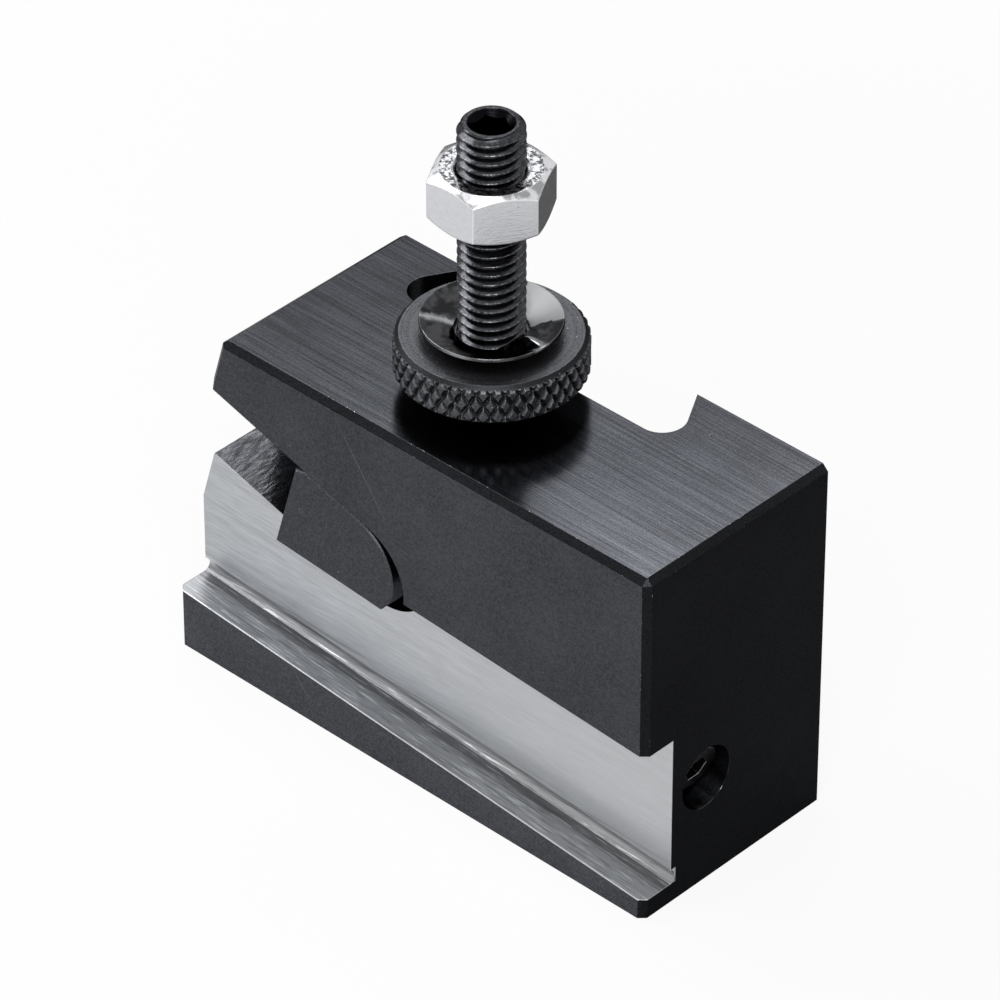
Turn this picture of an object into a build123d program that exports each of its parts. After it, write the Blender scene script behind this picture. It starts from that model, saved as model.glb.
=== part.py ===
"""Quick-change tool post holder for a parting blade.

A steel block with a dovetail groove in its back, a tilted blade slot in its front and an
inclined pocket for the wedge that clamps the blade.  A long screw draws the wedge down the
pocket, and a stud with a knurled nut sets the height of the block on the tool post.

Frame: millimetres, +Z up, X along the block, front face towards -Y.
Origin: middle of the bottom face.
"""

import os
from math import cos, pi, radians, sin, tan

from build123d import *

# Block
length = 75.0
width = 30.0
height = 48.4
edge_break = 0.8            # chamfer of the outer edges of the top and the front
nose_foot = 19.4            # height at which the left end starts to lean back
nose_blunt = 0.8            # chamfer of the jaw's lower left corner

# Blade slot, open to the front and to both ends
slot_depth = 4.65
slot_tilt = 4.2             # degrees, the floor falls towards the screw end
lip_height = 8.2            # top of the lip at the left end
jaw_height = 25.6           # underside of the upper jaw at mid length
jaw_tilt = 3.1              # degrees
relief_radius = 1.0         # round relief in the corner of floor and wall
relief_inset = 0.3          # relief centre in front of the wall

# Pocket for the wedge, an inclined slot with one full round end
incline = 16.0              # degrees, the wedge travels down towards the screw end
pocket_width = 15.0
pocket_depth = 16.0
pocket_end_x = -7.5         # centre of the round end
pocket_end_z = 26.4

# Wedge, in travel coordinates: x towards the screw head, y up across the pocket
wedge_recess = 0.3          # front face of the wedge behind the front of the block
wedge_back_gap = 0.3        # between the wedge and the floor of the pocket
wedge_nose_radius = 7.2
wedge_nose_end = 4.0        # degrees, the nose runs on this far below its centre
wedge_top_gap = 0.6         # between the top of the wedge and the roof of the pocket
wedge_nose_gap = 2.1        # between the nose and the round end of the pocket
wedge_length = 17.7
wedge_tip_drop = 2.9        # tip of the clamping face below the pocket's centre line
wedge_tip_inset = 1.05      # the same tip, back from the front of the nose
wedge_heel = 1.6            # broken corner at the top of the tail, along the travel
wedge_heel_drop = 0.7
wedge_edge_break = 0.2

# Clamp screw, M4 socket head cap screw
screw_diameter = 4.0
screw_length = 50.0
screw_head_diameter = 7.0
screw_head_height = 4.0
screw_socket = 3.0          # across flats
screw_socket_depth = 2.0
screw_chamfer = 0.4
screw_sink = 1.6            # top of the head below the mouth of the counterbore
screw_inset = 10.4          # axis behind the front face
screw_lift = 1.4            # axis above the pocket's centre line
screw_seat_gap = 0.05       # between the head and the floor of the counterbore
counterbore_clearance = 0.5
screw_hole_clearance = 0.25

# Dovetail groove in the back
groove_x = -0.3
groove_opening = 36.0
groove_depth = 9.0
groove_flank = 60.0         # degrees between flank and floor
groove_corner_radius = 3.0

# Height stud, M8 set screw with a socket at the top
stud_diameter = 7.9
stud_length = 50.0
stud_engagement = 13.7      # length of stud screwed into the block
stud_socket = 4.0           # across flats
stud_socket_depth = 4.0
stud_leadin_diameter = 5.6
stud_leadin_depth = 0.6
stud_chamfer = 0.7

# Knurled nut
knurl_diameter = 22.6
knurl_thickness = 5.2
knurl_lift = 2.6            # gap between the block and the nut
knurl_chamfer = 0.7
knurl_count = 42            # grooves round the rim, each way
knurl_angle = 30.0          # degrees from the axis
knurl_depth = 0.42

# Wave washer on the knurled nut
washer_diameter = 16.6
washer_bore_clearance = 0.4
washer_thickness = 0.5
washer_wave = 0.45          # height of the waves at the rim, up and down
washer_turn = 20.0          # degrees, place of a crest
washer_seat_gap = 0.05
washer_mesh = 6             # spans of the wavy surface, each way from the middle

# Lock nut, M8
nut_across_flats = 13.0
nut_thickness = 6.5
nut_drop = 6.0              # top of the nut below the end of the stud
nut_turn = -2.6             # degrees, place of a corner
nut_bevel = 30.0            # degrees, turned bevel on both ends
nut_face_diameter = 11.8
nut_countersink = 0.4

hex_sides = 6
overrun = 0.5               # cutting shapes run past the metal by this much

# Fits
thread_clearance = 0.05     # radial, stud in its nuts and in the block
screw_thread_clearance = 0.03

# Planes and places shared by several pieces
front_y = -width / 2
back_y = width / 2
knurl_foot = height + knurl_lift
knurl_top = knurl_foot + knurl_thickness
stud_foot = height - stud_engagement
stud_top = stud_foot + stud_length
nut_foot = stud_top - nut_drop - nut_thickness
counterbore_diameter = screw_head_diameter + 2 * counterbore_clearance
front_plane = Plane.XZ.offset(-front_y)
travel_plane = Plane(
    origin=(pocket_end_x, front_y, pocket_end_z),
    x_dir=(cos(radians(incline)), 0, -sin(radians(incline))),
    z_dir=(0, -1, 0),
)
# The screw's axis leaves the right end of the block this far down the travel.
mouth_rise = screw_lift * sin(radians(incline))
mouth_travel = (length / 2 - pocket_end_x - mouth_rise) / cos(radians(incline))
head_top = mouth_travel - screw_sink
head_seat = head_top - screw_head_height
counterbore_floor = head_seat - screw_seat_gap
screw_tip = head_seat - screw_length


def screw_plane(travel):
    """Plane square to the clamp screw, facing its head, at a place along the travel."""
    return Plane(
        origin=travel_plane.from_local_coords((travel, screw_lift, -screw_inset)),
        x_dir=(0, 1, 0),
        z_dir=travel_plane.x_dir,
    )


def slot_floor(x):
    """Height of the slot floor at a place along the block."""
    return lip_height - (x + length / 2) * tan(radians(slot_tilt))


def jaw_underside(x):
    """Height of the upper jaw's underside at a place along the block."""
    return jaw_height - x * tan(radians(jaw_tilt))


with BuildPart() as holder_body:
    # Side view of the block, its left end leaning back above the foot
    nose_setback = (height - nose_foot) * tan(radians(incline))
    with BuildSketch(front_plane):
        with BuildLine():
            Polyline(
                (-length / 2, 0),
                (length / 2, 0),
                (length / 2, height),
                (nose_setback - length / 2, height),
                (-length / 2, nose_foot),
                close=True,
            )
        make_face()
    extrude(amount=-width)
    top_edges = holder_body.faces().sort_by(Axis.Z)[-1].edges()
    front_edges = holder_body.faces().sort_by(Axis.Y)[0].edges()
    chamfer(top_edges.sort_by(Axis.Y)[:-1] + front_edges.sort_by(Axis.Z)[1:-1], length=edge_break)

    # Dovetail groove
    groove_half = groove_opening / 2
    groove_floor_half = groove_half + groove_depth / tan(radians(groove_flank))
    with BuildSketch():
        with BuildLine(Plane((groove_x, back_y, 0))):
            Polyline(
                (groove_half, 0),
                (groove_floor_half, -groove_depth),
                (-groove_floor_half, -groove_depth),
                (-groove_half, 0),
                close=True,
            )
        groove = make_face()
        fillet(groove.vertices().group_by(Axis.Y)[0], radius=groove_corner_radius)
    extrude(amount=height, mode=Mode.SUBTRACT)

    # Blade slot and the round relief along its corner
    left, right = -length, length
    with BuildSketch(front_plane):
        with BuildLine():
            Polyline(
                (left, slot_floor(left)),
                (right, slot_floor(right)),
                (right, jaw_underside(right)),
                (left, jaw_underside(left)),
                close=True,
            )
        make_face()
    extrude(amount=-slot_depth, mode=Mode.SUBTRACT)
    relief_z = slot_floor(0) + relief_radius / cos(radians(slot_tilt))
    relief_plane = Plane(
        origin=(0, front_y + slot_depth - relief_inset, relief_z),
        x_dir=(0, 1, 0),
        z_dir=(cos(radians(slot_tilt)), 0, -sin(radians(slot_tilt))),
    )
    with BuildSketch(relief_plane):
        Circle(relief_radius)
    extrude(amount=length, both=True, mode=Mode.SUBTRACT)

    # Wedge pocket, run out through the left end
    with BuildSketch(travel_plane):
        Circle(pocket_width / 2)
        Rectangle(length, pocket_width, align=(Align.MAX, Align.CENTER))
    extrude(amount=-pocket_depth, mode=Mode.SUBTRACT)
    nose_foot_place = Vector(-length / 2, front_y, nose_foot)
    nose_travel = travel_plane.to_local_coords(nose_foot_place).X
    jaw_corner = travel_plane.from_local_coords((nose_travel, pocket_width / 2, -pocket_depth / 2))
    cross_edges = holder_body.edges().filter_by(Axis.Y)
    chamfer(cross_edges.sort_by_distance(jaw_corner)[0], length=nose_blunt)

    # Clamp screw's counterbore and clearance hole
    with BuildSketch(screw_plane(counterbore_floor)):
        Circle(counterbore_diameter / 2)
    extrude(amount=counterbore_diameter + screw_head_height + screw_sink, mode=Mode.SUBTRACT)
    with BuildSketch(screw_plane(counterbore_floor)):
        Circle(screw_diameter / 2 + screw_hole_clearance)
    extrude(amount=-counterbore_floor, mode=Mode.SUBTRACT)

    # Tapped hole for the height stud
    with BuildSketch(Plane.XY.offset(stud_foot)):
        with Locations((groove_x, 0)):
            Circle(stud_diameter / 2 + thread_clearance)
    extrude(amount=height, mode=Mode.SUBTRACT)

with BuildPart() as wedge_clamp:
    roof = pocket_width / 2 - wedge_top_gap
    nose = pocket_width / 2 - wedge_nose_gap
    tail = nose - wedge_length
    nose_x = nose - wedge_nose_radius
    nose_y = roof - wedge_nose_radius
    tip_x = nose - wedge_tip_inset
    # The clamping face lies parallel to the slot floor.
    tail_drop = wedge_tip_drop + (tip_x - tail) * tan(radians(incline - slot_tilt))
    with BuildSketch(travel_plane.offset(-wedge_recess)):
        with BuildLine():
            nose_arc = CenterArc((nose_x, nose_y), wedge_nose_radius, 90, -90 - wedge_nose_end)
            Polyline(
                nose_arc @ 1,
                (tip_x, -wedge_tip_drop),
                (tail, -tail_drop),
                (tail, roof - wedge_heel_drop),
                (tail + wedge_heel, roof),
                nose_arc @ 0,
            )
        make_face()
    extrude(amount=wedge_recess + wedge_back_gap - pocket_depth)
    chamfer(wedge_clamp.faces().sort_by(Axis.Y)[0].edges(), length=wedge_edge_break)
    with BuildSketch(screw_plane(tail)):
        Circle(screw_diameter / 2 + screw_thread_clearance)
    extrude(amount=wedge_length, mode=Mode.SUBTRACT)

with BuildPart() as clamp_screw:
    with BuildSketch(screw_plane(screw_tip)):
        Circle(screw_diameter / 2)
    extrude(amount=screw_length)
    chamfer(clamp_screw.faces().sort_by(Axis.X)[0].edges(), length=screw_chamfer)
    with BuildSketch(screw_plane(head_seat)):
        Circle(screw_head_diameter / 2)
    extrude(amount=screw_head_height)
    chamfer(clamp_screw.faces().sort_by(Axis.X)[-1].edges(), length=screw_chamfer)
    with BuildSketch(screw_plane(head_top)):
        RegularPolygon(screw_socket / 2, hex_sides, major_radius=False)
    extrude(amount=-screw_socket_depth, mode=Mode.SUBTRACT)

with BuildPart() as height_stud:
    with BuildSketch(Plane.XY.offset(stud_foot)):
        with Locations((groove_x, 0)):
            Circle(stud_diameter / 2)
    extrude(amount=stud_length)
    stud_ends = height_stud.faces().filter_by(GeomType.PLANE)
    chamfer(stud_ends.edges(), length=stud_chamfer)
    with BuildSketch(Plane.XY.offset(stud_top)):
        with Locations((groove_x, 0)):
            RegularPolygon(stud_socket / 2, hex_sides, major_radius=False)
    extrude(amount=-stud_socket_depth, mode=Mode.SUBTRACT)
    with Locations((groove_x, 0, stud_top)):
        Cone(
            bottom_radius=stud_socket / 2,
            top_radius=stud_leadin_diameter / 2,
            height=stud_leadin_depth,
            align=(Align.CENTER, Align.CENTER, Align.MAX),
            mode=Mode.SUBTRACT,
        )

with BuildPart() as knurled_height_nut:
    with BuildSketch(Plane.XY.offset(knurl_foot)):
        with Locations((groove_x, 0)):
            Circle(knurl_diameter / 2)
    extrude(amount=knurl_thickness)
    chamfer(knurled_height_nut.edges(), length=knurl_chamfer)

    # Diamond knurl: V grooves round the rim, leaning both ways
    knurl_planes = []
    for turn in range(knurl_count):
        around = radians(360 * turn / knurl_count)
        for lean in (radians(knurl_angle), radians(-knurl_angle)):
            knurl_planes.append(
                Plane(
                    origin=(
                        groove_x + knurl_diameter / 2 * cos(around),
                        knurl_diameter / 2 * sin(around),
                        knurl_foot + knurl_thickness / 2,
                    ),
                    x_dir=(cos(around), sin(around), 0),
                    z_dir=(-sin(around) * sin(lean), cos(around) * sin(lean), cos(lean)),
                )
            )
    with BuildSketch(*knurl_planes):
        groove_reach = knurl_depth + overrun
        Polygon((-knurl_depth, 0), (overrun, -groove_reach), (overrun, groove_reach), align=None)
    extrude(amount=knurl_thickness, both=True, mode=Mode.SUBTRACT)
    with BuildSketch(Plane.XY.offset(knurl_foot)):
        with Locations((groove_x, 0)):
            Circle(stud_diameter / 2 + thread_clearance)
    extrude(amount=knurl_thickness, mode=Mode.SUBTRACT)

with BuildPart() as wave_washer:
    # Three waves round the middle: the height follows the cosine of three times the angle.
    rim = washer_diameter / 2
    span = (rim + overrun) / washer_mesh
    wave_base = knurl_top + washer_seat_gap + washer_wave
    wave_rows = []
    for i in range(-washer_mesh, washer_mesh + 1):
        row = []
        for j in range(-washer_mesh, washer_mesh + 1):
            u, v = i * span / rim, j * span / rim
            row.append(Vector(u * rim, v * rim, washer_wave * (u**3 - 3 * u * v**2)))
        wave_rows.append(row)
    wave_face = Face.make_surface_from_array_of_points(wave_rows)
    wave_place = Location((groove_x, 0, wave_base), (0, 0, washer_turn))
    thicken(wave_place * wave_face, amount=washer_thickness)
    with BuildSketch(Plane.XY.offset(wave_base)):
        with Locations((groove_x, 0)):
            Circle(rim)
            Circle(stud_diameter / 2 + washer_bore_clearance, mode=Mode.SUBTRACT)
    extrude(amount=washer_diameter, both=True, mode=Mode.INTERSECT)

with BuildPart() as lock_nut:
    with BuildSketch(Plane.XY.offset(nut_foot)):
        with Locations((groove_x, 0)):
            RegularPolygon(nut_across_flats / 2, hex_sides, major_radius=False, rotation=nut_turn)
    extrude(amount=nut_thickness)
    # Turned bevels at both ends
    face_radius = nut_face_diameter / 2
    bevel_radius = nut_across_flats / 2 / cos(pi / hex_sides) + overrun
    bevel_drop = (bevel_radius - face_radius) * tan(radians(nut_bevel))
    nut_middle = (groove_x, 0, nut_foot + nut_thickness / 2)
    with BuildSketch(Plane(origin=nut_middle, x_dir=(1, 0, 0), z_dir=(0, -1, 0))):
        with BuildLine():
            Polyline(
                (0, -nut_thickness / 2),
                (face_radius, -nut_thickness / 2),
                (bevel_radius, bevel_drop - nut_thickness / 2),
                (bevel_radius, nut_thickness / 2 - bevel_drop),
                (face_radius, nut_thickness / 2),
                (0, nut_thickness / 2),
                close=True,
            )
        make_face()
    revolve(axis=Axis((groove_x, 0, 0), (0, 0, 1)), mode=Mode.INTERSECT)
    with BuildSketch(Plane.XY.offset(nut_foot)):
        with Locations((groove_x, 0)):
            Circle(stud_diameter / 2 + thread_clearance)
    extrude(amount=nut_thickness, mode=Mode.SUBTRACT)
    bore_rims = lock_nut.edges().filter_by(GeomType.CIRCLE).group_by(SortBy.RADIUS)[0]
    chamfer(bore_rims, length=nut_countersink)

holder_body.part.label = "holder_body"
wedge_clamp.part.label = "wedge_clamp"
clamp_screw.part.label = "clamp_screw"
height_stud.part.label = "height_stud"
knurled_height_nut.part.label = "knurled_height_nut"
wave_washer.part.label = "wave_washer"
lock_nut.part.label = "lock_nut"

os.makedirs("parts", exist_ok=True)
export_step(holder_body.part, "parts/holder_body.step")
export_step(wedge_clamp.part, "parts/wedge_clamp.step")
export_step(clamp_screw.part, "parts/clamp_screw.step")
export_step(height_stud.part, "parts/height_stud.step")
export_step(knurled_height_nut.part, "parts/knurled_height_nut.step")
export_step(wave_washer.part, "parts/wave_washer.step")
export_step(lock_nut.part, "parts/lock_nut.step")
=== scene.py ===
"""Dresses a parting-blade holder for a quick-change tool post: threads, metal finishes, stage."""

from math import cos, pi, radians, sin, tan

import bpy
from bpy.props import FloatProperty, FloatVectorProperty, IntProperty, PointerProperty
from mathutils import Matrix, Vector


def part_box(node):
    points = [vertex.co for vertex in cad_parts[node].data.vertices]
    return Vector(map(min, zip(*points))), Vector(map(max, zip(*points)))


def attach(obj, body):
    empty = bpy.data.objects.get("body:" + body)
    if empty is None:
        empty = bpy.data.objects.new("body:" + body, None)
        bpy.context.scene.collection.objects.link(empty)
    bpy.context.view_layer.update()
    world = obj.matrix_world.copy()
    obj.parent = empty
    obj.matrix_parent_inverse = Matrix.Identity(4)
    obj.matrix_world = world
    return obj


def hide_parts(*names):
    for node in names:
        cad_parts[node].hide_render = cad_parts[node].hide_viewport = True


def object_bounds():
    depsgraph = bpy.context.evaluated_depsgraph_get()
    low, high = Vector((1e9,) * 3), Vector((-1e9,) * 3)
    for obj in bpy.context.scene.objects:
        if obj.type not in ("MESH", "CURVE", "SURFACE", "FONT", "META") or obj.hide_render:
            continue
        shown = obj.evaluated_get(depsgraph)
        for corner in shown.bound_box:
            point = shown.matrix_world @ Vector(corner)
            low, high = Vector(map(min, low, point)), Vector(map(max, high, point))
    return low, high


bl_info = {
    "name": "Parting Blade Holder",
    "version": (1, 0, 0),
    "blender": (4, 5, 0),
    "location": "View3D > Sidebar > Holder",
    "description": "Models the threads of a parting-blade holder and gives every piece its finish",
    "category": "Object",
}

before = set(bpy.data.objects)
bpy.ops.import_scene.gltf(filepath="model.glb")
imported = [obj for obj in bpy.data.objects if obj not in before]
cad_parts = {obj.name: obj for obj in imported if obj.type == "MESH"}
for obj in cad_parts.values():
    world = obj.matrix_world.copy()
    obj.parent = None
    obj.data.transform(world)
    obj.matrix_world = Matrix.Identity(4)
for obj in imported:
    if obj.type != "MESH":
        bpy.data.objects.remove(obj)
cad_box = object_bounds()

MM = 0.001
SMOOTH_ANGLE = radians(32)
WELD = 1e-7
OVERRUN = 0.4 * MM
CONE_SIDES = 72

# Profile of a metric thread; all but the angle and the turns are shares of the pitch
THREAD_DEPTH = 0.613
HALF_CREST = 1 / 16
CREST_BEVEL = 0.045
RUN_IN = 2.03
SPARE_TURNS = 5
FLANK_ANGLE = radians(30)

# A fold of the washer is drawn up from this share of the rim's radius outwards
CREST_START = 0.62


# Sizes and colours


def length(name, description, default):
    return FloatProperty(
        name=name, description=description, default=default, unit="LENGTH", precision=5
    )


def angle(name, description, degrees):
    return FloatProperty(
        name=name, description=description, default=radians(degrees), subtype="ANGLE"
    )


def count(name, description, default, least):
    return IntProperty(name=name, description=description, default=default, min=least)


def colour(name, description, default):
    return FloatVectorProperty(
        name=name, description=description, default=default, subtype="COLOR", size=3, min=0, max=1
    )


class HolderThreads(bpy.types.PropertyGroup):
    stud_pitch: length("Stud pitch", "Rise of the stud's thread in one turn", 1.25 * MM)
    stud_chamfer: length("Stud chamfer", "Chamfer at both ends of the stud", 0.7 * MM)
    stud_socket: length("Stud socket", "Stud's hexagon socket across flats", 4.0 * MM)
    stud_socket_depth: length("Stud socket depth", "Depth of the stud's socket", 4.0 * MM)
    stud_lead_in: length("Lead-in", "Diameter of the countersink of the stud's socket", 5.6 * MM)
    steps: count("Steps", "Steps in one turn of a thread", 56, 12)


class HolderWasher(bpy.types.PropertyGroup):
    bore: length("Bore", "Diameter of the washer's hole", 8.7 * MM)
    thickness: length("Thickness", "Thickness of the washer's sheet", 0.4 * MM)
    first_fold: angle("First fold", "Place of the highest crest", 0)
    second_fold: angle("Second fold", "Place of a crest", 115)
    third_fold: angle("Third fold", "Place of a crest", 221)
    lift: length("Lift", "How far the first crest stands above the others", 0.5 * MM)
    spread: length("Spread", "Width that a fold draws up round it", 4.4 * MM)
    fold: length("Fold", "Half width of a fold's crest", 0.3 * MM)
    sides: count("Sides", "Points round the washer before smoothing", 72, 12)
    rings: count("Rings", "Rings from the hole to the rim", 6, 2)


class HolderColours(bpy.types.PropertyGroup):
    black_steel: colour("Black steel", "Black oxide on milled steel", (0.062, 0.065, 0.073))
    oiled_steel: colour("Oiled steel", "Black oxide on the fasteners", (0.05, 0.051, 0.056))
    washer: colour("Washer", "Polished black spring steel", (0.066, 0.067, 0.072))
    bare_steel: colour("Bare steel", "Brushed steel in the blade slot", (0.5, 0.515, 0.54))
    # Also the colour of painted highlights and painted reflections in the slot and on the washer
    wear_and_highlight_steel: colour("Worn steel", "Bright metal at nicks and rubbed edges", (0.62, 0.63, 0.64))
    zinc: colour("Zinc", "Bright zinc plating", (0.69, 0.695, 0.72))
    floor: colour("Floor", "Pale floor", (0.82, 0.82, 0.82))


class HolderSlot(bpy.types.PropertyGroup):
    depth: length("Slot depth", "Depth of the blade slot from the front", 4.65 * MM)
    lip_height: length("Lip height", "Top of the lip at the left end", 8.2 * MM)
    tilt: angle("Tilt", "Fall of the slot floor", 4.2)
    jaw_height: length("Jaw height", "Underside of the upper jaw at mid length", 25.6 * MM)
    jaw_tilt: angle("Jaw tilt", "Fall of the jaw", 3.1)
    relief: length("Relief", "Height of the round relief above the floor", 2.1 * MM)


class HolderStage(bpy.types.PropertyGroup):
    azimuth: angle("Azimuth", "Camera's turn about the part", 43.44)
    elevation: angle("Elevation", "Camera's height above the part", 36.97)
    distance: length("Distance", "Camera's distance from its target", 0.8244)
    aim_height: length("Aim height", "Height of the camera's target", 0.025)
    aim_right: length("Aim right", "Camera's offset to its right", 0.00072)
    aim_up: length("Aim up", "Camera's offset upwards", 0.00591)
    lens: FloatProperty(name="Lens", description="Focal length in millimetres", default=256.33)
    floor_radius: length("Floor radius", "Radius of the round floor", 1.2)


# Mesh work with operators


def deselect():
    if bpy.context.mode != "OBJECT":
        bpy.ops.object.mode_set(mode="OBJECT")
    bpy.ops.object.select_all(action="DESELECT")


def only(piece):
    """Makes a piece the only selected and the active one."""
    deselect()
    piece.select_set(True)
    bpy.context.view_layer.objects.active = piece
    return piece


def added(name):
    """Names the object that an operator has just added."""
    piece = bpy.context.object
    piece.name = name
    piece.data.name = name
    return piece


def settle(piece):
    """Moves a piece's place, turn and scale into its mesh."""
    only(piece)
    bpy.ops.object.transform_apply(location=True, rotation=True, scale=True)
    return piece


def apply_modifier(piece, kind, **settings):
    only(piece)
    modifier = piece.modifiers.new(kind.title(), kind)
    for key, value in settings.items():
        setattr(modifier, key, value)
    bpy.ops.object.modifier_apply(modifier=modifier.name)
    return piece


def cylinder(name, radius, low, high, sides=96):
    """A closed cylinder on the Z axis from one height to another."""
    deselect()
    bpy.ops.mesh.primitive_cylinder_add(
        vertices=sides, radius=radius, depth=high - low, location=(0, 0, (low + high) / 2)
    )
    return settle(added(name))


def thread(name, radius, pitch, rod_length, steps):
    """A rod on the Z axis with a helical thread, an overrun longer than its length at both ends."""
    depth = THREAD_DEPTH * pitch
    crest = HALF_CREST * pitch
    root = pitch / 2 - crest - depth * tan(FLANK_ANGLE)
    flank = pitch / 2 - root - crest
    outline = [(0, root), (depth, flank), (0, 2 * crest), (-depth, flank), (0, root)]
    deselect()
    bpy.ops.mesh.primitive_plane_add(size=pitch, location=(radius - depth, 0, -RUN_IN * pitch))
    rod = settle(added(name))
    bpy.ops.object.mode_set(mode="EDIT")
    bpy.ops.mesh.select_all(action="SELECT")
    bpy.ops.mesh.merge(type="CENTER")
    for outwards, upwards in outline:
        bpy.ops.mesh.extrude_region_move(TRANSFORM_OT_translate={"value": (outwards, 0, upwards)})
    bpy.ops.object.mode_set(mode="OBJECT")
    for vertex in rod.data.vertices:
        vertex.select = vertex.co.x > radius - depth / 2
    bpy.ops.object.mode_set(mode="EDIT")
    bpy.ops.mesh.select_mode(type="VERT")
    bpy.ops.mesh.bevel(offset=CREST_BEVEL * pitch, segments=2, affect="VERTICES")
    bpy.ops.object.mode_set(mode="OBJECT")
    apply_modifier(
        rod,
        "SCREW",
        axis="Z",
        angle=2 * pi,
        screw_offset=pitch,
        iterations=int(rod_length / pitch) + SPARE_TURNS,
        steps=steps,
        render_steps=steps,
        use_merge_vertices=True,
        merge_threshold=WELD,
    )
    bpy.ops.object.mode_set(mode="EDIT")
    bpy.ops.mesh.select_all(action="SELECT")
    bpy.ops.mesh.remove_doubles(threshold=WELD)
    for height, direction in ((-OVERRUN, -1), (rod_length + OVERRUN, 1)):
        bpy.ops.mesh.select_all(action="SELECT")
        bpy.ops.mesh.bisect(
            plane_co=(0, 0, height),
            plane_no=(0, 0, direction),
            use_fill=True,
            clear_outer=True,
            threshold=WELD,
        )
    bpy.ops.mesh.select_all(action="SELECT")
    bpy.ops.mesh.normals_make_consistent(inside=False)
    bpy.ops.object.mode_set(mode="OBJECT")
    return rod


def combine(piece, tool, operation):
    """Joins a piece with a closed tool by a boolean, and removes the tool."""
    apply_modifier(piece, "BOOLEAN", object=tool, operation=operation, solver="EXACT")
    bpy.data.objects.remove(tool)
    return piece


def sink_socket(piece, top, across, depth, mouth):
    """Sinks a hexagon socket with a conical mouth into the top of a turned piece."""
    deselect()
    reach = mouth / 2 + OVERRUN
    middle = (0, 0, top + OVERRUN - reach / 2)
    bpy.ops.mesh.primitive_cone_add(
        vertices=CONE_SIDES, radius1=0, radius2=reach, depth=reach, location=middle
    )
    combine(piece, settle(added("mouth_cutter")), "DIFFERENCE")
    corner = across / 2 / cos(pi / 6)
    socket = cylinder("socket_cutter", corner, top - depth, top + OVERRUN, sides=6)
    combine(piece, socket, "DIFFERENCE")


def smooth(piece):
    only(piece)
    bpy.ops.object.shade_smooth_by_angle(angle=SMOOTH_ANGLE)
    return piece


# Node work


def put(tree, kind, *values, **settings):
    """Adds a node, sets its settings, and links or sets its inputs in order."""
    node = tree.nodes.new(kind)
    for key, value in settings.items():
        setattr(node, key, value)
    for socket, value in zip(node.inputs, values):
        feed(tree, socket, value)
    return node


def feed(tree, socket, value):
    """Links another node's output to a socket, or sets the socket's own value."""
    if value is None:
        return
    if isinstance(value, bpy.types.NodeSocket):
        tree.links.new(value, socket)
    else:
        socket.default_value = value


def math(tree, operation, *values, clamp=False):
    return put(tree, "ShaderNodeMath", *values, operation=operation, use_clamp=clamp).outputs[0]


def times(tree, first, *others):
    """Product of masks and numbers."""
    for other in others:
        first = math(tree, "MULTIPLY", first, other)
    return first


def most(tree, first, *others):
    """Largest of several masks."""
    for other in others:
        first = math(tree, "MAXIMUM", first, other)
    return first


def weigh(tree, value, weight, rest):
    """A value times its weight, added to the rest."""
    return math(tree, "MULTIPLY_ADD", value, weight, rest)


def vector(tree, operation, *values):
    node = put(tree, "ShaderNodeVectorMath", *values, operation=operation)
    single = operation in ("DOT_PRODUCT", "LENGTH", "DISTANCE")
    return node.outputs["Value"] if single else node.outputs[0]


def scaled(tree, value, factor):
    """A vector times a number."""
    node = put(tree, "ShaderNodeVectorMath", value, operation="SCALE")
    feed(tree, node.inputs["Scale"], factor)
    return node.outputs[0]


def ramp(tree, value, low, high, out_low=0.0, out_high=1.0):
    """Smooth step of a value between two levels."""
    levels = (value, low, high, out_low, out_high)
    return put(tree, "ShaderNodeMapRange", *levels, interpolation_type="SMOOTHSTEP").outputs[0]


def between(tree, value, low, high, edge):
    """One between two levels and zero outside, with soft edges."""
    above = ramp(tree, value, low - edge, low + edge)
    below = ramp(tree, value, high + edge, high - edge)
    return times(tree, above, below)


def beyond(tree, value, edge, offsets):
    """Smooth step of a value between two levels that are given from an edge."""
    return ramp(tree, value, edge + offsets[0], edge + offsets[1])


def mix(tree, share, first, second):
    """Mixes two colours."""
    node = tree.nodes.new("ShaderNodeMix")
    node.data_type = "RGBA"
    feed(tree, node.inputs["Factor"], share)
    feed(tree, node.inputs["A"], solid(first))
    feed(tree, node.inputs["B"], solid(second))
    return node.outputs["Result"]


def solid(value):
    """A colour property as a shader colour; sockets pass through."""
    return value if isinstance(value, bpy.types.NodeSocket) else (*tuple(value)[:3], 1.0)


def tinted(base, factor):
    """A colour made darker or lighter."""
    return [factor * channel for channel in base]


def level(tree, share, first, second):
    """Mixes two numbers."""
    node = tree.nodes.new("ShaderNodeMix")
    feed(tree, node.inputs["Factor"], share)
    feed(tree, node.inputs["A"], first)
    feed(tree, node.inputs["B"], second)
    return node.outputs["Result"]


def noise(tree, place, scale, detail=2.0, roughness=0.5):
    node = put(tree, "ShaderNodeTexNoise", place, normalize=True)
    feed(tree, node.inputs["Scale"], scale)
    feed(tree, node.inputs["Detail"], detail)
    feed(tree, node.inputs["Roughness"], roughness)
    return node.outputs[0]


def millimetres(tree):
    """Object coordinates in millimetres, and the surface's own normal in the same axes."""
    coordinates = tree.nodes.new("ShaderNodeTexCoord")
    return scaled(tree, coordinates.outputs["Object"], 1 / MM), coordinates.outputs["Normal"]


def axes(tree, value):
    return put(tree, "ShaderNodeSeparateXYZ", value).outputs


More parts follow.
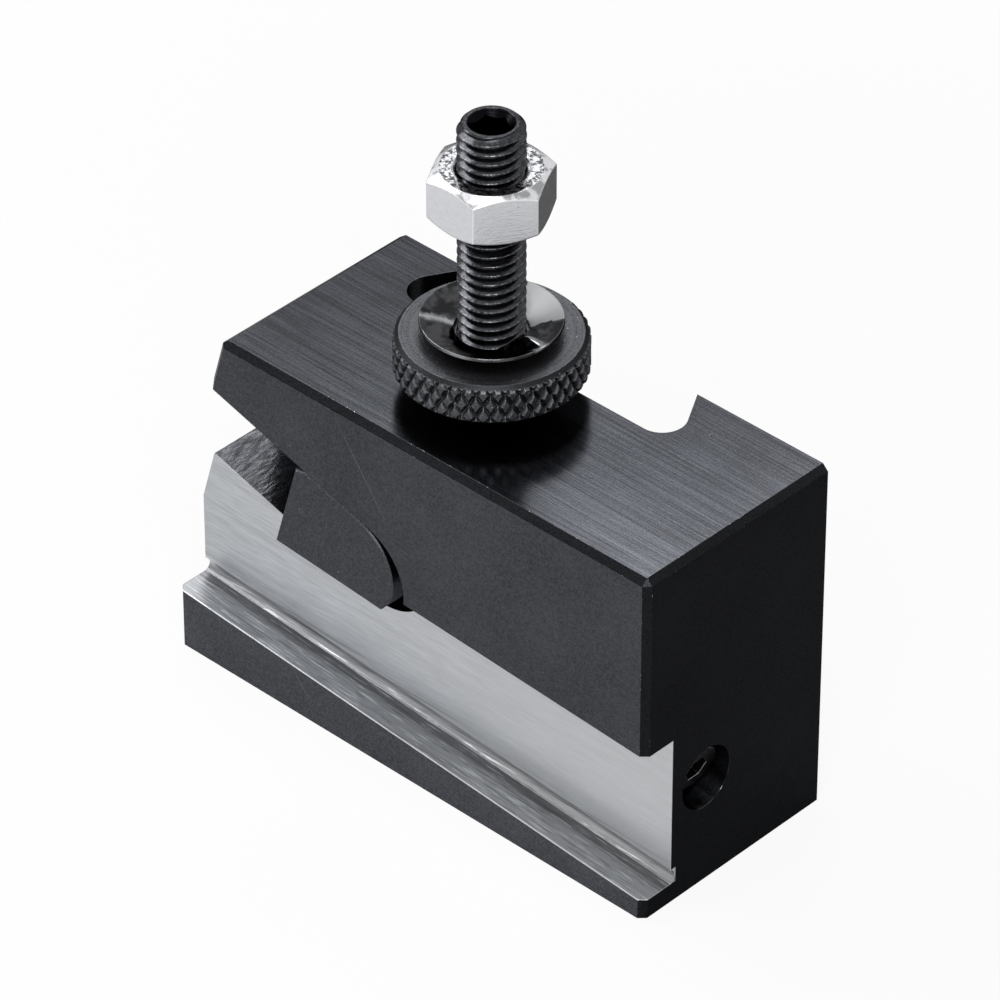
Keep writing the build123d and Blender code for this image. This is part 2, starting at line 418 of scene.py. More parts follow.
def new_group(name, inputs, outputs):
    """A shader node group with the named sockets, and its input and output nodes."""
    tree = bpy.data.node_groups.new(name, "ShaderNodeTree")
    for label, kind, default in inputs:
        socket = tree.interface.new_socket(name=label, in_out="INPUT", socket_type=kind)
        if default is not None:
            socket.default_value = default
    for label, kind in outputs:
        tree.interface.new_socket(name=label, in_out="OUTPUT", socket_type=kind)
    return tree, tree.nodes.new("NodeGroupInput").outputs, tree.nodes.new("NodeGroupOutput").inputs


def use_group(tree, name, **values):
    """Places a node group in a material; underscores in the keywords stand for spaces."""
    node = tree.nodes.new("ShaderNodeGroup")
    node.node_tree = bpy.data.node_groups[name]
    for label, value in values.items():
        feed(tree, node.inputs[label.replace("_", " ")], value)
    return node.outputs


FLOAT, VECTOR = "NodeSocketFloat", "NodeSocketVector"
EDGE_BEND = (0.01, 0.12)
NICK_FADE = 0.04
SLANT_SPREAD = (0.9, 0.6)
CLOUD_SCALE = 0.09
CELLS_WITHOUT_SPECK = 0.9
SPECK_FADE = 0.04
HAIRLINE_END = 0.3
HAIRLINE_SWELL = 3.0
HAIRLINE_FADE = (1.0, 0.3)


def build_edge_wear():
    """Rounded edges, a mask of the edges, and the bright nicks along them."""
    tree, given, out = new_group(
        "Edge Wear",
        [
            ("Place", VECTOR, None),
            ("Radius", FLOAT, 0.2 * MM),
            ("Nick Scale", FLOAT, 1.2),
            ("Nick Level", FLOAT, 0.62),
        ],
        [("Edge", FLOAT), ("Nicks", FLOAT), ("Normal", VECTOR)],
    )
    rounded = put(tree, "ShaderNodeBevel", given["Radius"], samples=6).outputs[0]
    sharp = tree.nodes.new("ShaderNodeNewGeometry").outputs["Normal"]
    bend = math(tree, "SUBTRACT", 1.0, vector(tree, "DOT_PRODUCT", rounded, sharp))
    edge = ramp(tree, bend, *EDGE_BEND)
    spots = noise(tree, given["Place"], given["Nick Scale"], detail=4.0, roughness=0.65)
    above = math(tree, "SUBTRACT", spots, given["Nick Level"])
    tree.links.new(edge, out["Edge"])
    tree.links.new(times(tree, edge, ramp(tree, above, 0.0, NICK_FADE)), out["Nicks"])
    tree.links.new(rounded, out["Normal"])


def build_face_values():
    """One value for the ends, one for front and back, one for level faces, one for slants."""
    tree, given, out = new_group(
        "Face Values",
        [("Facing", VECTOR, None), ("Values", VECTOR, (1.0, 1.0, 1.0)), ("Slants", FLOAT, 1.0)],
        [("Value", FLOAT)],
    )
    squares = vector(tree, "MULTIPLY", given["Facing"], given["Facing"])
    flat = vector(tree, "DOT_PRODUCT", squares, given["Values"])
    spread = vector(tree, "DOT_PRODUCT", squares, squares)
    slanted = ramp(tree, spread, *SLANT_SPREAD)
    tree.links.new(level(tree, slanted, flat, given["Slants"]), out["Value"])


def build_tool_marks():
    """Fine lines that a cutter or a belt leaves along one direction."""
    tree, given, out = new_group(
        "Tool Marks",
        [("Place", VECTOR, None), ("Stretch", VECTOR, (0.05, 6.0, 6.0)), ("Detail", FLOAT, 3.0)],
        [("Marks", FLOAT)],
    )
    stretched = vector(tree, "MULTIPLY", given["Place"], given["Stretch"])
    marks = noise(tree, stretched, 1.0, detail=given["Detail"], roughness=0.6)
    tree.links.new(marks, out["Marks"])


def build_turning():
    """Distance from an upright axis, and the fine rings that a lathe leaves round it."""
    tree, given, out = new_group(
        "Turning",
        [("Place", VECTOR, None), ("Axis", VECTOR, None), ("Fineness", FLOAT, 7.0)],
        [("Reach", FLOAT), ("Rings", FLOAT)],
    )
    offset = vector(tree, "SUBTRACT", given["Place"], given["Axis"])
    reach = vector(tree, "LENGTH", vector(tree, "MULTIPLY", offset, (1.0, 1.0, 0.0)))
    height = axes(tree, given["Place"])[2]
    section = put(tree, "ShaderNodeCombineXYZ", reach, 0.0, height).outputs[0]
    lines = scaled(tree, section, given["Fineness"])
    tree.links.new(noise(tree, lines, 1.0, detail=3.0, roughness=0.6), out["Rings"])
    tree.links.new(reach, out["Reach"])


def build_speckle():
    """Grain of the oxide: a fine mottle, a broad cloud and a few loose bright specks."""
    tree, given, out = new_group(
        "Speckle",
        [
            ("Place", VECTOR, None),
            ("Grain", FLOAT, 4.0),
            ("Speck Scale", FLOAT, 1.1),
            ("Speck Size", FLOAT, 0.11),
        ],
        [("Mottle", FLOAT), ("Cloud", FLOAT), ("Specks", FLOAT)],
    )
    mottle = noise(tree, given["Place"], given["Grain"], detail=3.0, roughness=0.7)
    cloud = noise(tree, given["Place"], CLOUD_SCALE, detail=3.0, roughness=0.55)
    cells = put(tree, "ShaderNodeTexVoronoi", given["Place"], feature="F1")
    feed(tree, cells.inputs["Scale"], given["Speck Scale"])
    near = math(tree, "SUBTRACT", given["Speck Size"], cells.outputs["Distance"])
    chance = axes(tree, cells.outputs["Color"])[0]
    chosen = math(tree, "GREATER_THAN", chance, CELLS_WITHOUT_SPECK)
    tree.links.new(mottle, out["Mottle"])
    tree.links.new(cloud, out["Cloud"])
    tree.links.new(times(tree, ramp(tree, near, 0.0, SPECK_FADE), chosen), out["Specks"])


def build_hairline():
    """One hairline scratch between two points on a face, widest in its middle."""
    tree, given, out = new_group(
        "Hairline",
        [
            ("Place", VECTOR, None),
            ("Start", VECTOR, None),
            ("End", VECTOR, None),
            ("Width", FLOAT, 0.06),
        ],
        [("Line", FLOAT)],
    )
    along = vector(tree, "SUBTRACT", given["End"], given["Start"])
    reach = vector(tree, "SUBTRACT", given["Place"], given["Start"])
    covered = vector(tree, "DOT_PRODUCT", reach, along)
    whole = vector(tree, "DOT_PRODUCT", along, along)
    share = math(tree, "DIVIDE", covered, whole, clamp=True)
    gap = vector(tree, "DISTANCE", reach, scaled(tree, along, share))
    fade = times(tree, share, math(tree, "SUBTRACT", 1.0, share))
    swell = math(tree, "ADD", HAIRLINE_END, times(tree, fade, HAIRLINE_SWELL))
    width = times(tree, given["Width"], swell)
    tree.links.new(ramp(tree, math(tree, "DIVIDE", gap, width), *HAIRLINE_FADE), out["Line"])


def tool_marks(tree, place, stretch, detail=3.0):
    return use_group(tree, "Tool Marks", Place=place, Stretch=stretch, Detail=detail)["Marks"]


def face_values(tree, facing, values, slants):
    return use_group(tree, "Face Values", Facing=facing, Values=values, Slants=slants)["Value"]


def new_material(name, metallic=1.0):
    material = bpy.data.materials.new(name)
    material.use_nodes = True
    shader = material.node_tree.nodes["Principled BSDF"]
    shader.inputs["Metallic"].default_value = metallic
    return material, material.node_tree, shader


def black_oxide(name):
    """A material whose edge reflection stays low, as on oiled black oxide."""
    material, tree, shader = new_material(name)
    shader.inputs["Specular Tint"].default_value = OXIDE_TINT
    return material, tree, shader


def surface(tree, shader, base, roughness, normal):
    """Feeds a finish's colour, roughness and normal to its shader."""
    feed(tree, shader.inputs["Base Color"], base)
    feed(tree, shader.inputs["Roughness"], roughness)
    feed(tree, shader.inputs["Normal"], normal)


def bump(tree, height, distance, normal=None):
    node = tree.nodes.new("ShaderNodeBump")
    node.inputs["Strength"].default_value = 1.0
    node.inputs["Distance"].default_value = distance
    feed(tree, node.inputs["Height"], height)
    feed(tree, node.inputs["Normal"], normal)
    return node.outputs[0]


def dress(node_name, material):
    """Gives a CAD node its material."""
    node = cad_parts[node_name]
    node.data.materials.clear()
    node.data.materials.append(material)


# Finishes. Lengths are in millimetres here, and angles in radians. A pair is the start and the
# end of a smooth step; a third number beside a pair is its softness or its strength.

OXIDE_TINT = (0.55, 0.55, 0.55, 1.0)
SPECK_SHARE = 0.5

# Knurled nut: shades of the oiled steel, with painted shade in the knurl's grooves and a painted
# highlight on its crests, and the knurl's bottom and top inside the rim
KNURL_GROOVE_PAINTED_SHADE = 0.4
KNURL_CREST_PAINTED_HIGHLIGHT = 2.1
KNURL_FACE_SHADE = 1.85
KNURL_BOTTOM = 0.34
KNURL_TOP = 0.1

# Washer: a painted reflection between two folds, a painted reflection in a valley near the rim, and
# painted glints at two folds
REFLECTION_AFTER_FOLD = 0.76
REFLECTION_BEFORE_FOLD = 0.2
REFLECTION_SOFTNESS = 0.03
REFLECTION_SHADE = 0.38
REFLECTION_ROUGHNESS = 0.42
RIM_BAND = (0.7, 0.9)
REFLECTION_FROM_VALLEY = (0.28, 0.12)
VALLEY_REFLECTION_SOFTNESS = 0.14
VALLEY_REFLECTION_SHARE = 0.3
VALLEY_REFLECTION_DULLNESS = 0.7
THIRD_FOLD_GLINT = (0.12, 0.02, 0.55)
FIRST_FOLD_GLINT = (0.14, 0.04, 0.4)
GLINT_SOFTNESS = 0.08

# Stud: painted shade inside the socket, and the rub on the thread's crests
SOCKET_PAINTED_SHADE = (0.004, 0.004, 0.005)
SOCKET_SHADE_BELOW_TOP = (6.0, 5.0)
CREST_RUB_DEPTH = 0.2
CREST_RUB_SHARE = 0.18

# Blade slot, measured from its floor and jaw, from the block's front and from the slot's wall
SLOT_EDGE = (-0.06, -0.04)
SLOT_OPENING = (0.02, 0.05)
WALL_SURFACE = (0.1, 0.05)
RELIEF_BEHIND_WALL = (0.9, 0.8)
CORNER_BEFORE_WALL = (-1.4, -1.1)
RELIEF_FADE = 2.0
RIDGE_START = 1.0
RIDGE_OVER_RELIEF = 0.2
SCORES_OVER_RELIEF = (1.2, 0.2)
SCORE_DARK_SHARE = 0.55
SCORE_LIGHT_SHARE = 0.6
HALF_LENGTH_LIGHTENED = 35.0
LENGTHWISE_LIGHTENING = 0.6
FLOOR_SHADOW_SHARE = 0.45
RELIEF_SHADE_SHARE = 0.35
SLOT_NICK_SHARE = 0.7

# Block: its faces have one value for the ends, one for front and back, one for top and bottom; the
# shades are painted shade and light by facing
FACE_PAINTED_SHADES = (0.18, 0.98, 1.24)
SLANT_PAINTED_SHADE = 0.22
FACE_ROUGHNESS = (0.3, 0.34, 0.17)
SLANT_ROUGHNESS = 0.3
# Painted light on the front of the lip below the slot floor
LIP_PAINTED_LIGHT = 0.3
BELOW_FLOOR = (-0.1, -0.3)
FRONT_SKIN = (0.4, 0.2)
LIP_EDGE_HEIGHT = (0.15, 0.09)
LIP_EDGE_DEPTH = (0.17, 0.1)
SCRATCH_SHARE = 0.22
BLOCK_SPECK_SHARE = 0.3
LEVEL_FACE = (0.85, 0.95)
HALF_DIAGONAL = 45.0
POCKET_FACING_RIGHT = (0.2, 0.34, 0.03)
POCKET_FACING_UP = (0.9, 0.93)
POCKET_HEIGHT = 8.0
POCKET_DARK = (0.045, 0.047, 0.052)
POCKET_LIGHT = (0.11, 0.114, 0.124)
SHADOW = (0.0, 0.0, 0.0)
# Painted shade in the round relief at the foot of the slot wall
RELIEF_PAINTED_SHADE = (0.03, 0.03, 0.032)
FRONT_SCRATCHES = (
    ((-10.3, -15.0, 46.3), (-3.0, -15.0, 36.4), 0.05),
    ((-18.2, -15.0, 6.1), (-15.0, -15.0, 2.3), 0.05),
)

# Lock nut
CHAMFER_FACING = (0.3, 0.95, 0.04)
ZINC_PITS = (0.05, 0.05, 0.055)
# Painted highlight along the nut's edges
ZINC_EDGE_HIGHLIGHT = (0.95, 0.95, 0.96)
ZINC_SPECKS = (0.1, 0.1, 0.1)


def black_steel_material(name, base, roughness, wear, nick_level):
    """Black oxide with a fine grain, loose specks, rubbed edges and nicks."""
    colours = bpy.context.scene.holder_colours
    material, tree, shader = black_oxide(name)
    place = millimetres(tree)[0]
    edges = use_group(
        tree, "Edge Wear", Place=place, Radius=0.12 * MM, Nick_Scale=1.6, Nick_Level=nick_level
    )
    grain = use_group(tree, "Speckle", Place=place, Grain=5.0, Speck_Scale=1.3, Speck_Size=0.1)
    marks = tool_marks(tree, place, (5.0, 5.0, 5.0))
    tone = weigh(tree, grain["Mottle"], 0.7, times(tree, marks, 0.7))
    skin = mix(tree, ramp(tree, tone, 0.5, 0.95), tinted(base, 0.7), tinted(base, 1.35))
    specks = times(tree, grain["Specks"], SPECK_SHARE)
    wear_and_highlight = most(tree, edges["Nicks"], times(tree, edges["Edge"], wear), specks)
    surface(
        tree,
        shader,
        base=mix(tree, wear_and_highlight, skin, colours.wear_and_highlight_steel),
        roughness=weigh(tree, tone, 0.2, roughness),
        normal=bump(tree, math(tree, "ADD", grain["Mottle"], marks), 0.01 * MM, edges["Normal"]),
    )
    return material


def stud_axis():
    """Middle of the stud in millimetres."""
    low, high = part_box("height_stud")
    return ((low.x + high.x) / 2 / MM, (low.y + high.y) / 2 / MM, 0.0)


def knurl_material():
    """Oiled black: diamonds with a painted highlight on their crests and painted shade in their
    grooves, and a matt turned face.
    """
    colours = bpy.context.scene.holder_colours
    material, tree, shader = black_oxide("knurl_black")
    place, facing = millimetres(tree)
    low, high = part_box("knurled_height_nut")
    rim = (high.x - low.x) / 2 / MM
    turned = use_group(tree, "Turning", Place=place, Axis=stud_axis(), Fineness=6.0)
    edges = use_group(
        tree, "Edge Wear", Place=place, Radius=0.1 * MM, Nick_Scale=1.7, Nick_Level=0.54
    )
    grain = use_group(tree, "Speckle", Place=place, Grain=4.0, Speck_Scale=1.6, Speck_Size=0.16)
    tone = weigh(tree, grain["Mottle"], 0.6, times(tree, turned["Rings"], 0.5))
    level_face = ramp(tree, math(tree, "ABSOLUTE", axes(tree, facing)[2]), 0.8, 0.95)
    # Painted shade in the knurl's grooves and a painted highlight on its crests, by reach from the
    # axis
    standing = ramp(tree, turned["Reach"], rim - KNURL_BOTTOM, rim - KNURL_TOP)
    groove_painted_shade = tinted(colours.oiled_steel, KNURL_GROOVE_PAINTED_SHADE)
    crest = tinted(colours.oiled_steel, KNURL_CREST_PAINTED_HIGHLIGHT)
    face = tinted(colours.oiled_steel, KNURL_FACE_SHADE)
    skin = mix(tree, level_face, mix(tree, standing, groove_painted_shade, crest), face)
    skin = mix(tree, ramp(tree, tone, 0.62, 0.42, out_high=0.75), skin, groove_painted_shade)
    # Worn edges of the knurl that also stand in for a painted highlight
    edge_rub_and_highlight = ramp(tree, grain["Mottle"], 0.48, 0.66, out_low=0.05, out_high=0.5)
    wear_and_highlight = most(
        tree,
        times(tree, edges["Edge"], edge_rub_and_highlight),
        times(tree, edges["Nicks"], 0.5),
        times(tree, grain["Specks"], SPECK_SHARE),
    )
    surface(
        tree,
        shader,
        base=mix(tree, wear_and_highlight, skin, colours.wear_and_highlight_steel),
        roughness=weigh(tree, tone, 0.2, 0.24),
        normal=bump(tree, tone, 0.07 * MM, edges["Normal"]),
    )
    return material


def washer_material():
    """Glossy black sheet: a painted reflection between two folds, another in a valley near the rim,
    and painted glints at its folds.
    """
    colours = bpy.context.scene.holder_colours
    washer = bpy.context.scene.holder_washer
    material, tree, shader = black_oxide("washer_black")
    place = millimetres(tree)[0]
    turned = use_group(tree, "Turning", Place=place, Axis=stud_axis(), Fineness=1.5)
    edges = use_group(
        tree, "Edge Wear", Place=place, Radius=0.12 * MM, Nick_Scale=0.7, Nick_Level=0.5
    )
    grain = use_group(tree, "Speckle", Place=place, Grain=0.35, Speck_Scale=0.8, Speck_Size=0.1)
    offset = axes(tree, vector(tree, "SUBTRACT", place, stud_axis()))
    turn = math(tree, "ARCTAN2", offset[1], offset[0])
    turn = weigh(tree, math(tree, "SUBTRACT", grain["Mottle"], 0.5), 0.5, turn)
    low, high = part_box("wave_washer")
    rim = (high.x - low.x) / 2 / MM
    inner, outer = RIM_BAND
    by_rim = ramp(tree, turned["Reach"], inner * rim, outer * rim)
    first, third = washer.first_fold, washer.third_fold - 2 * pi
    valley = (first + third) / 2
    # Painted reflection: a pale field between the first and second folds
    reflection_end = washer.second_fold - REFLECTION_BEFORE_FOLD
    painted_reflection = between(tree, turn, first + REFLECTION_AFTER_FOLD, reflection_end, REFLECTION_SOFTNESS)
    # Painted reflection: a pale patch in the valley near the rim
    before, after = REFLECTION_FROM_VALLEY
    in_valley = between(tree, turn, valley - before, valley + after, VALLEY_REFLECTION_SOFTNESS)
    valley_reflection = times(tree, in_valley, by_rim)

    skin = mix(
        tree, ramp(tree, grain["Mottle"], 0.4, 0.6), tinted(colours.washer, 0.35), colours.washer
    )
    skin = mix(tree, painted_reflection, skin, tinted(colours.wear_and_highlight_steel, REFLECTION_SHADE))
    wear_and_highlight = most(
        tree,
        # The rim's edge: wear, and a painted highlight along it
        times(tree, edges["Edge"], 0.45),
        times(tree, grain["Specks"], SPECK_SHARE),
        times(tree, valley_reflection, VALLEY_REFLECTION_SHARE),
    )
    # Painted glints at the third and first folds
    for fold, (before, after, share) in ((third, THIRD_FOLD_GLINT), (first, FIRST_FOLD_GLINT)):
        glint = between(tree, turn, fold - before, fold + after, GLINT_SOFTNESS)
        wear_and_highlight = most(tree, wear_and_highlight, times(tree, glint, share))
    dull = most(tree, painted_reflection, times(tree, valley_reflection, VALLEY_REFLECTION_DULLNESS))
    gloss = weigh(tree, grain["Mottle"], 0.12, 0.05)
    height = weigh(tree, turned["Rings"], 0.1, grain["Mottle"])
    surface(
        tree,
        shader,
        base=mix(tree, wear_and_highlight, skin, colours.wear_and_highlight_steel),
        roughness=level(tree, dull, gloss, REFLECTION_ROUGHNESS),
        normal=bump(tree, height, 0.03 * MM, edges["Normal"]),
    )
    return material


def thread_material():
    """Oiled black thread, rubbed on its crests, with painted shade in its socket."""
    colours = bpy.context.scene.holder_colours
    threads = bpy.context.scene.holder_threads
    material, tree, shader = black_oxide("oiled_thread")
    place = millimetres(tree)[0]
    turned = use_group(tree, "Turning", Place=place, Axis=stud_axis(), Fineness=4.0)
    grain = use_group(tree, "Speckle", Place=place, Grain=3.0, Speck_Scale=1.6, Speck_Size=0.1)
    low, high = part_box("height_stud")
    top = high.z / MM
    crest = (high.x - low.x) / 2 / MM
    tone = weigh(tree, grain["Mottle"], 0.6, times(tree, turned["Rings"], 0.4))
    dark = tinted(colours.oiled_steel, 0.5)
    light = tinted(colours.oiled_steel, 1.35)
    skin = mix(tree, ramp(tree, tone, 0.35, 0.65), dark, light)
    on_crest = ramp(tree, turned["Reach"], crest - CREST_RUB_DEPTH, crest)
    wear_and_highlight = times(tree, on_crest, ramp(tree, grain["Mottle"], 0.45, 0.65), CREST_RUB_SHARE)
    skin = mix(tree, wear_and_highlight, skin, colours.wear_and_highlight_steel)
    # Painted shade: the socket and its mouth are nearly black
    mouth = threads.stud_lead_in / 2 / MM
    in_mouth = ramp(tree, turned["Reach"], mouth, mouth - 0.1)
    bottom, fade = SOCKET_SHADE_BELOW_TOP
    near_top = ramp(tree, axes(tree, place)[2], top - bottom, top - fade)
    surface(
        tree,
        shader,
        base=mix(tree, times(tree, in_mouth, near_top), skin, SOCKET_PAINTED_SHADE),
        roughness=weigh(tree, tone, 0.16, 0.1),
        normal=bump(tree, tone, 0.02 * MM),
    )
    return material


def slot_masks(tree, place, slot):
    """Masks of the bare blade slot and of its corner relief, and the height above its floor."""
    x, y, z = axes(tree, place)
    front = cad_box[0].y / MM
    left = cad_box[0].x / MM
    wall = front + slot.depth / MM
    relief_height = slot.relief / MM
    lip_height = slot.lip_height / MM + left * tan(slot.tilt)
    floor_level = weigh(tree, x, -tan(slot.tilt), lip_height)
    jaw_level = weigh(tree, x, -tan(slot.jaw_tilt), slot.jaw_height / MM)
    over_floor = math(tree, "SUBTRACT", z, floor_level)
    under_jaw = math(tree, "SUBTRACT", jaw_level, z)
    inside = times(tree, ramp(tree, over_floor, *SLOT_EDGE), ramp(tree, under_jaw, *SLOT_EDGE))
    past_front = beyond(tree, y, front, SLOT_OPENING)
    in_front = times(tree, past_front, beyond(tree, y, wall, WALL_SURFACE))
    behind = times(
        tree,
        beyond(tree, y, wall, RELIEF_BEHIND_WALL),
        ramp(tree, over_floor, relief_height, RELIEF_FADE),
        past_front,
    )
    bare = times(tree, inside, most(tree, in_front, behind))
    corner = times(tree, bare, beyond(tree, y, wall, CORNER_BEFORE_WALL))
    ridge_end = relief_height + RIDGE_OVER_RELIEF
    return {
        "bare": bare,
        # Painted shade in the round relief at the foot of the wall
        "relief": times(tree, corner, ramp(tree, over_floor, RIDGE_START, 0.6)),
        # Painted highlight along the ridge just above the relief
        "ridge": times(tree, corner, between(tree, over_floor, RIDGE_START, ridge_end, 0.3)),
        "over floor": over_floor,
    }


def bare_slot(tree, place, facing_up, masks, nicks):
    """Colour of the bare steel in the blade slot, and the tone of its brushing."""
    scene = bpy.context.scene
    colours, slot = scene.holder_colours, scene.holder_slot
    brushed = tool_marks(tree, place, (0.28, 5.0, 5.0), 5.0)
    coarse = tool_marks(tree, place, (0.04, 0.9, 0.9))
    scored = tool_marks(tree, place, (0.03, 3.2, 3.2))
    tone = weigh(tree, coarse, 0.35, times(tree, brushed, 0.75))
    dark = tinted(colours.bare_steel, 0.8)
    light = tinted(colours.bare_steel, 1.12)
    score_shade = tinted(colours.bare_steel, 0.25)
    by_foot = beyond(tree, masks["over floor"], slot.relief / MM, SCORES_OVER_RELIEF)
    # The bare steel turns lighter towards the right end
    wear = ramp(
        tree,
        axes(tree, place)[0],
        -HALF_LENGTH_LIGHTENED,
        HALF_LENGTH_LIGHTENED,
        out_high=LENGTHWISE_LIGHTENING,
    )
    score_dark = ramp(tree, scored, 0.46, 0.36, out_high=SCORE_DARK_SHARE)
    score_light = ramp(tree, scored, 0.56, 0.66, out_high=SCORE_LIGHT_SHARE)
    layers = (
        # Lighter towards the right end
        (wear, colours.wear_and_highlight_steel),
        (times(tree, ramp(tree, facing_up, 0.3, 0.9), FLOOR_SHADOW_SHARE), SHADOW),
        # Painted shade in the corner relief
        (times(tree, masks["relief"], RELIEF_SHADE_SHARE), RELIEF_PAINTED_SHADE),
        # Painted highlight along the ridge above the relief
        (masks["ridge"], colours.wear_and_highlight_steel),
        (times(tree, by_foot, score_dark), score_shade),
        (times(tree, by_foot, score_light), colours.wear_and_highlight_steel),
        (times(tree, nicks, SLOT_NICK_SHARE), colours.wear_and_highlight_steel),
    )
    bare = mix(tree, ramp(tree, tone, 0.35, 0.75), dark, light)
    for share, tint in layers:
        bare = mix(tree, share, bare, tint)
    return bare, tone


def block_material():
    """Milled black steel with a bare blade slot, a rough pocket and hairlines on its front."""
    scene = bpy.context.scene
    colours, slot = scene.holder_colours, scene.holder_slot
    material, tree, shader = black_oxide("milled_black_steel")
    place, facing = millimetres(tree)
    place_axes, facing_axes = axes(tree, place), axes(tree, facing)
    x, y = place_axes[0], place_axes[1]
    nx, nz = facing_axes[0], facing_axes[2]
    front = cad_box[0].y / MM
    edges = use_group(
        tree, "Edge Wear", Place=place, Radius=0.12 * MM, Nick_Scale=1.3, Nick_Level=0.63
    )
    grain = use_group(tree, "Speckle", Place=place, Grain=4.5, Speck_Scale=0.5, Speck_Size=0.06)
    masks = slot_masks(tree, place, slot)
    over_floor = masks["over floor"]

    level_face = ramp(tree, math(tree, "ABSOLUTE", nz), *LEVEL_FACE)
    lines = tool_marks(tree, place, (0.05, 3.0, 5.5))
    milled = level(tree, weigh(tree, level_face, 0.8, 0.2), grain["Mottle"], lines)
    tone = weigh(tree, grain["Mottle"], 0.45, times(tree, milled, 0.55))
    tone = weigh(tree, grain["Cloud"], 0.2, tone)
    # Painted sheen: the level faces grow darker towards the back left
    diagonal = math(tree, "SUBTRACT", x, y)
    painted_sheen_drift = ramp(tree, diagonal, -HALF_DIAGONAL, HALF_DIAGONAL, out_low=-0.14, out_high=0.02)
    # Painted light: the front of the lip, below the slot floor, is lighter
    below_floor = ramp(tree, over_floor, *BELOW_FLOOR)
    lip = times(tree, below_floor, beyond(tree, y, front, FRONT_SKIN))
    shade = times(
        tree,
        # Painted shade and light by facing: dark ends and slants, a light top
        face_values(tree, facing, FACE_PAINTED_SHADES, SLANT_PAINTED_SHADE),
        ramp(tree, tone, 0.4, 0.8, out_low=0.6, out_high=1.35),
        weigh(tree, painted_sheen_drift, level_face, 1.0),
        weigh(tree, lip, LIP_PAINTED_LIGHT, 1.0),
    )
    black = scaled(tree, tuple(colours.black_steel), shade)
    nicks = most(tree, edges["Nicks"], times(tree, grain["Specks"], BLOCK_SPECK_SHARE))
    for start, end, width in FRONT_SCRATCHES:
        line = use_group(tree, "Hairline", Place=place, Start=start, End=end, Width=width)["Line"]
        nicks = most(tree, nicks, times(tree, line, SCRATCH_SHARE))
    skin = mix(tree, nicks, black, colours.wear_and_highlight_steel)

    slanting = between(tree, nx, *POCKET_FACING_RIGHT)
    pocket = times(tree, slanting, ramp(tree, nz, *POCKET_FACING_UP))
    rough_milled = tool_marks(tree, place, (1.1, 0.4, 1.1), 4.0)
    pocket_tone = mix(tree, ramp(tree, rough_milled, 0.3, 0.7), POCKET_DARK, POCKET_LIGHT)
    skin = mix(tree, pocket, skin, pocket_tone)

    bare, brush_tone = bare_slot(tree, place, nz, masks, edges["Nicks"])
    at_floor = ramp(tree, math(tree, "ABSOLUTE", over_floor), *LIP_EDGE_HEIGHT)
    lip_edge = times(tree, at_floor, beyond(tree, y, front, LIP_EDGE_DEPTH))
    finish = mix(tree, masks["bare"], skin, bare)
    dull = face_values(tree, facing, FACE_ROUGHNESS, SLANT_ROUGHNESS)
    black_rough = weigh(tree, tone, 0.12, math(tree, "SUBTRACT", dull, 0.08))
    bare_rough = weigh(tree, brush_tone, 0.2, 0.26)
    black_height = weigh(tree, milled, 0.9, times(tree, grain["Mottle"], 0.5))
    height = level(tree, masks["bare"], black_height, brush_tone)
    height = level(tree, pocket, height, times(tree, rough_milled, POCKET_HEIGHT))
    surface(
        tree,
        shader,
        base=mix(tree, lip_edge, finish, colours.wear_and_highlight_steel),
        roughness=level(tree, masks["bare"], black_rough, bare_rough),
        normal=bump(tree, height, 0.006 * MM, edges["Normal"]),
    )
    return material


def zinc_material():
    """Bright plating: silky flats with painted highlights on the edges, painted dark reflections in
    blots on the chamfers, and a spotty turned face.
    """
    zinc = bpy.context.scene.holder_colours.zinc
    material, tree, shader = new_material("bright_zinc")
    place, facing = millimetres(tree)
    edges = use_group(
        tree, "Edge Wear", Place=place, Radius=0.28 * MM, Nick_Scale=1.0, Nick_Level=0.7
    )
    grain = use_group(tree, "Speckle", Place=place, Grain=1.8, Speck_Scale=0.5, Speck_Size=0.12)
    turned = use_group(tree, "Turning", Place=place, Axis=stud_axis(), Fineness=5.0)
    tone = weigh(tree, grain["Mottle"], 0.5, times(tree, turned["Rings"], 0.5))
    level_share = math(tree, "ABSOLUTE", axes(tree, facing)[2])
    on_chamfer = between(tree, level_share, *CHAMFER_FACING)
    # Painted dark reflection in blots on the chamfers
    blots = ramp(tree, noise(tree, place, 0.5), 0.5, 0.6, out_high=0.75)
    chamfer_dark_reflection = times(tree, on_chamfer, blots)
    spotty = mix(tree, ramp(tree, grain["Mottle"], 0.42, 0.56), ZINC_PITS, tinted(zinc, 0.7))
    layers = (
        (ramp(tree, level_share, 0.95, 0.99), spotty),
        (chamfer_dark_reflection, tinted(zinc, 0.3)),
        # Painted highlight along the edges
        (times(tree, edges["Edge"], 0.8), ZINC_EDGE_HIGHLIGHT),
        (times(tree, grain["Specks"], 0.6), ZINC_SPECKS),
    )
    skin = mix(tree, ramp(tree, tone, 0.3, 0.7), tinted(zinc, 0.86), zinc)
    for share, tint in layers:
        skin = mix(tree, share, skin, tint)
    surface(
        tree,
        shader,
        base=skin,
        roughness=weigh(tree, tone, 0.24, 0.12),
        normal=bump(tree, tone, 0.03 * MM, edges["Normal"]),
    )
    return material


# Stage: lengths in metres

